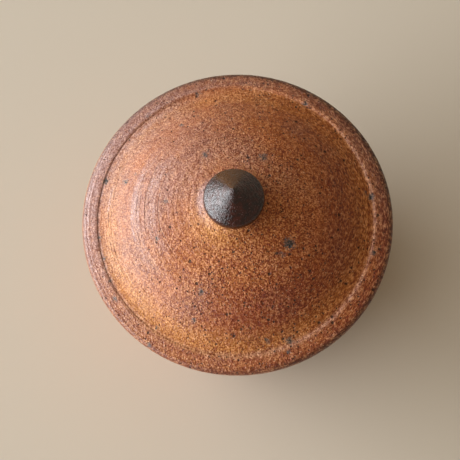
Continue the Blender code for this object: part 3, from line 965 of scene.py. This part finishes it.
def pot_outline():
    """The pot from the middle of its floor up the inside, over the lip and down to the foot."""
    outside = pot_wall()
    along = np.gradient(outside, axis=0)
    along /= np.linalg.norm(along, axis=1)[:, None]
    offset = outside + POT_WALL * np.stack([along[:, 1], -along[:, 0]], 1)
    spring_z = FLOOR_Z + FLOOR_ROUND
    wall = offset[::-1]
    wall = wall[(wall[:, 1] > spring_z) & (wall[:, 1] < POT_HEIGHT - LIP_ROUND - 0.3)]
    lean = math.atan2(wall[1, 1] - wall[0, 1], wall[1, 0] - wall[0, 0])
    corner = bend((wall[0, 0] - FLOOR_ROUND, FLOOR_Z), 0.0, tuple(wall[0]), lean, step=0.8)
    lip_z = POT_HEIGHT - LIP_ROUND
    lip = joined(
        arc((MOUTH_RADIUS + LIP_ROUND, lip_z), (LIP_ROUND, LIP_ROUND), 180, 90, step=0.35),
        line((MOUTH_RADIUS + LIP_ROUND, POT_HEIGHT), (LIP_RADIUS - LIP_ROUND, POT_HEIGHT), step=0.6),
        arc((LIP_RADIUS - LIP_ROUND, lip_z), (LIP_ROUND, LIP_ROUND), 90, 0, step=0.35),
    )
    inner = FOOT_RADIUS - FOOT_WIDTH
    round_foot = (FOOT_ROUND, FOOT_ROUND)
    foot = joined(
        line((WALL_FOOT_RADIUS, FOOT_HEIGHT), (FOOT_RADIUS, FOOT_HEIGHT), step=0.8),
        line((FOOT_RADIUS, FOOT_HEIGHT), (FOOT_RADIUS, FOOT_ROUND), step=0.9),
        arc((FOOT_RADIUS - FOOT_ROUND, FOOT_ROUND), round_foot, 0, -90, step=0.3),
        line((FOOT_RADIUS - FOOT_ROUND, 0.0), (inner + FOOT_ROUND, 0.0), step=0.8),
        arc((inner + FOOT_ROUND, FOOT_ROUND), round_foot, -90, -180, step=0.3),
        line((inner, FOOT_ROUND), (inner, FOOT_RECESS - FOOT_ROUND), step=0.9),
        arc((inner - FOOT_ROUND, FOOT_RECESS - FOOT_ROUND), round_foot, 0, 90, step=0.3),
        line((inner - FOOT_ROUND, FOOT_RECESS), (0.0, FOOT_RECESS), step=2.0),
    )
    inside = joined(line((0.0, FLOOR_Z), tuple(corner[0]), step=1.4), corner, wall)
    return joined(inside, lip, outside, foot), len(inside), len(joined(inside, lip))


def make_pot():
    outline, lip_start, wall_start = pot_outline()
    t = Turning(outline, POT_AROUND)
    phase = 2 * math.pi * (t.height / POT_LINE_PITCH + t.azimuth / (2 * math.pi))
    drift = rippled(t.points, size=25.0, seed=41)
    inside = t.span(0, lip_start) * ramp(t.radius, *POT_INSIDE_START)
    inside = inside * ramp(t.height, *POT_INSIDE_END)
    outside = t.span(wall_start, len(t.rings)) * ramp(t.height, *POT_OUTSIDE_START)
    outside = outside * ramp(t.height, *POT_OUTSIDE_END)
    relief = POT_LINE_HEIGHT * np.cos(phase + 0.6 * drift) * (0.8 + 0.5 * drift)
    relief += POT_SAND_HEIGHT * rippled(t.points, size=1.1, seed=42, octaves=2)
    relief += POT_LUMP_HEIGHT * rippled(t.points, size=7.0, seed=43)
    relief *= inside + outside
    soft = rippled(t.points, size=14.0, seed=44, octaves=2)
    flame = sides(t, FLAME_SIDES)
    low_flame = flame * bump_at(t.height, FLAME_Z + FLAME_DRIFT * soft, FLAME_WIDTH)
    high_flame = flame * ramp(t.height, *HIGH_FLAME_START)
    masks = {
        "ochre": np.clip(0.55 * low_flame + 0.25 * soft, 0, 1) * outside,
        # painted shade on the side turned from the window, and a random darker tone
        "umber_and_painted_shade": np.clip(sides(t, POT_PAINTED_SHADE_SIDES) + 0.4 * soft, 0, 1) * outside,
        "bloom_and_sheen": np.clip(0.5 * high_flame + 0.3 * soft, 0, 1) * outside,
        "iron": ramp(rippled(t.points, size=3.1, seed=45), 0.52, 0.72) * outside,
        "sandy": np.clip(0.55 + 0.4 * soft, 0, 1),
    }
    t.points += t.normal * relief[:, None]
    t.points, masks["pit"] = add_pits(t.points, t.normal, outside > 0.5, **POT_PITS)
    round_part = np.clip(inside + outside, 0, 1)
    before = t.points.copy()
    wobble(t, sideways=0.25, upward=0.0, seed=51)
    t.points = before + (t.points - before) * round_part[:, None]
    return t.mesh("pot_clay_body", clay("pot_stoneware", POT_ROUGHNESS), masks)


FLOOR_RADIUS = 0.9
FLOOR_SIDES = 180
FLOOR_COLOUR = (0.64, 0.57, 0.47, 1.0)
FLOOR_ROUGHNESS = 0.8


def make_floor():
    """A plain pale surface under the pot."""
    data = bpy.data.meshes.new("pale_floor")
    angles = [2 * math.pi * i / FLOOR_SIDES for i in range(FLOOR_SIDES)]
    circle = [(FLOOR_RADIUS * math.cos(angle), FLOOR_RADIUS * math.sin(angle), 0) for angle in angles]
    data.from_pydata(circle, [], [tuple(range(FLOOR_SIDES))])
    g = Graph("floor_paint")
    g.feed(g.shader, {"Base Color": FLOOR_COLOUR, "Roughness": FLOOR_ROUGHNESS})
    data.materials.append(g.material)
    floor = bpy.data.objects.new("pale_floor", data)
    bpy.context.scene.collection.objects.link(floor)


def aim(thing, location, target):
    """Puts a lamp at a location, with its face towards the target."""
    thing.location = location
    thing.rotation_euler = (Vector(target) - Vector(location)).to_track_quat("-Z", "Y").to_euler()


# The window: how far away and how large it is in metres, where it stands, and how bright it looks
WINDOW_DISTANCE = 3.2
WINDOW_SIZE = (8.0, 2.7)
WINDOW_AZIMUTH = math.radians(183)
WINDOW_ELEVATION = math.radians(23)
WINDOW_RADIANCE = 3.5
WINDOW_TINT = (0.93, 0.965, 1.0)
WINDOW_TARGET = (0, 0, 0.07)

# The brightest part of the window, seen at the same distance and azimuth
SKY_SIZE = (4.2, 0.5)
SKY_ELEVATION = math.radians(14)
SKY_RADIANCE = 15.0

# The soft lamp overhead, and the dim room
OVERHEAD_HEIGHT = 1.2
OVERHEAD_SIZE = 1.2
OVERHEAD_RADIANCE = 0.6
OVERHEAD_TINT = (1.0, 0.86, 0.64)
ROOM_LEVEL = 0.13
ROOM_TINT = (1.0, 0.72, 0.4, 1.0)

# What the camera, the glaze and other shiny surfaces see past the floor
BACKDROP = (0.26, 0.22, 0.17, 1.0)


def make_lamp(name, size, radiance, tint):
    """A rectangular lamp that looks equally bright all over, and that the camera doesn't see."""
    data = bpy.data.lights.new(name, "AREA")
    data.shape = "RECTANGLE"
    data.size, data.size_y = size
    data.energy = radiance * math.pi * size[0] * size[1]
    data.color = tint
    lamp = bpy.data.objects.new(name, data)
    bpy.context.scene.collection.objects.link(lamp)
    lamp.visible_camera = False
    return lamp


def make_light():
    """A broad window to the left, a weak soft lamp overhead and a dim room."""
    for name, size, radiance, elevation in (
        ("window_light", WINDOW_SIZE, WINDOW_RADIANCE, WINDOW_ELEVATION),
        ("sky_light", SKY_SIZE, SKY_RADIANCE, SKY_ELEVATION),
    ):
        lamp = make_lamp(name, size, radiance, WINDOW_TINT)
        flat = WINDOW_DISTANCE * math.cos(elevation)
        height = WINDOW_DISTANCE * math.sin(elevation)
        place = (flat * math.cos(WINDOW_AZIMUTH), flat * math.sin(WINDOW_AZIMUTH), height)
        aim(lamp, place, WINDOW_TARGET)
    overhead_size = (OVERHEAD_SIZE, OVERHEAD_SIZE)
    overhead = make_lamp("overhead_light", overhead_size, OVERHEAD_RADIANCE, OVERHEAD_TINT)
    overhead.visible_glossy = False
    aim(overhead, (0, 0, OVERHEAD_HEIGHT), (0, 0, 0))
    world = bpy.data.worlds.new("even_fill")
    world.use_nodes = True
    nodes = world.node_tree.nodes
    links = world.node_tree.links
    room = nodes["Background"]
    room.inputs["Color"].default_value = ROOM_TINT
    room.inputs["Strength"].default_value = ROOM_LEVEL
    backdrop = nodes.new("ShaderNodeBackground")
    backdrop.inputs["Color"].default_value = BACKDROP
    ray = nodes.new("ShaderNodeLightPath")
    seen = ray.outputs["Is Camera Ray"]
    for kind in ("Is Glossy Ray", "Is Transmission Ray"):
        either = nodes.new("ShaderNodeMath")
        either.operation = "MAXIMUM"
        links.new(seen, either.inputs[0])
        links.new(ray.outputs[kind], either.inputs[1])
        seen = either.outputs[0]
    chosen = nodes.new("ShaderNodeMixShader")
    links.new(seen, chosen.inputs[0])
    links.new(room.outputs[0], chosen.inputs[1])
    links.new(backdrop.outputs[0], chosen.inputs[2])
    links.new(chosen.outputs[0], nodes["World Output"].inputs["Surface"])
    bpy.context.scene.world = world


def make_camera():
    """The photograph's camera, which looks down on the lid from a little in front."""
    side = math.sin(CAMERA_TILT)
    level = Vector((math.sin(CAMERA_SIDE), -math.cos(CAMERA_SIDE), 0)) * side
    back = level + Vector((0, 0, math.cos(CAMERA_TILT)))
    right = (Vector((1, 0, 0)) - back.x * back).normalized()
    up = back.cross(right)
    data = bpy.data.cameras.new("photo_camera")
    data.sensor_width = SENSOR_WIDTH
    data.lens = FOCAL_PIXELS / IMAGE_SIZE * SENSOR_WIDTH
    data.shift_x = (IMAGE_SIZE / 2 - RIM_CENTRE_PIXEL[0]) / IMAGE_SIZE
    data.shift_y = (RIM_CENTRE_PIXEL[1] - IMAGE_SIZE / 2) / IMAGE_SIZE
    data.clip_start = NEAREST_SEEN
    camera = bpy.data.objects.new("photo_camera", data)
    bpy.context.scene.collection.objects.link(camera)
    turn = Matrix((right, up, back)).transposed().to_4x4()
    rim_centre = Vector((0, 0, RIM_WIDEST_Z * MM))
    camera.matrix_world = Matrix.Translation(rim_centre + CAMERA_DISTANCE * back) @ turn
    bpy.context.scene.camera = camera


bpy.context.scene.view_settings.view_transform = "Standard"
make_camera()
make_light()
make_floor()
for piece, body, node, slot in (
    (make_pot(), "pot", "pot_body", "pot_clay"),
    (make_lid(), "lid", "lid", "lid_clay"),
    (make_knob(), "lid", "knob", "knob_glaze"),
):
    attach(piece, body)
    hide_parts(node)
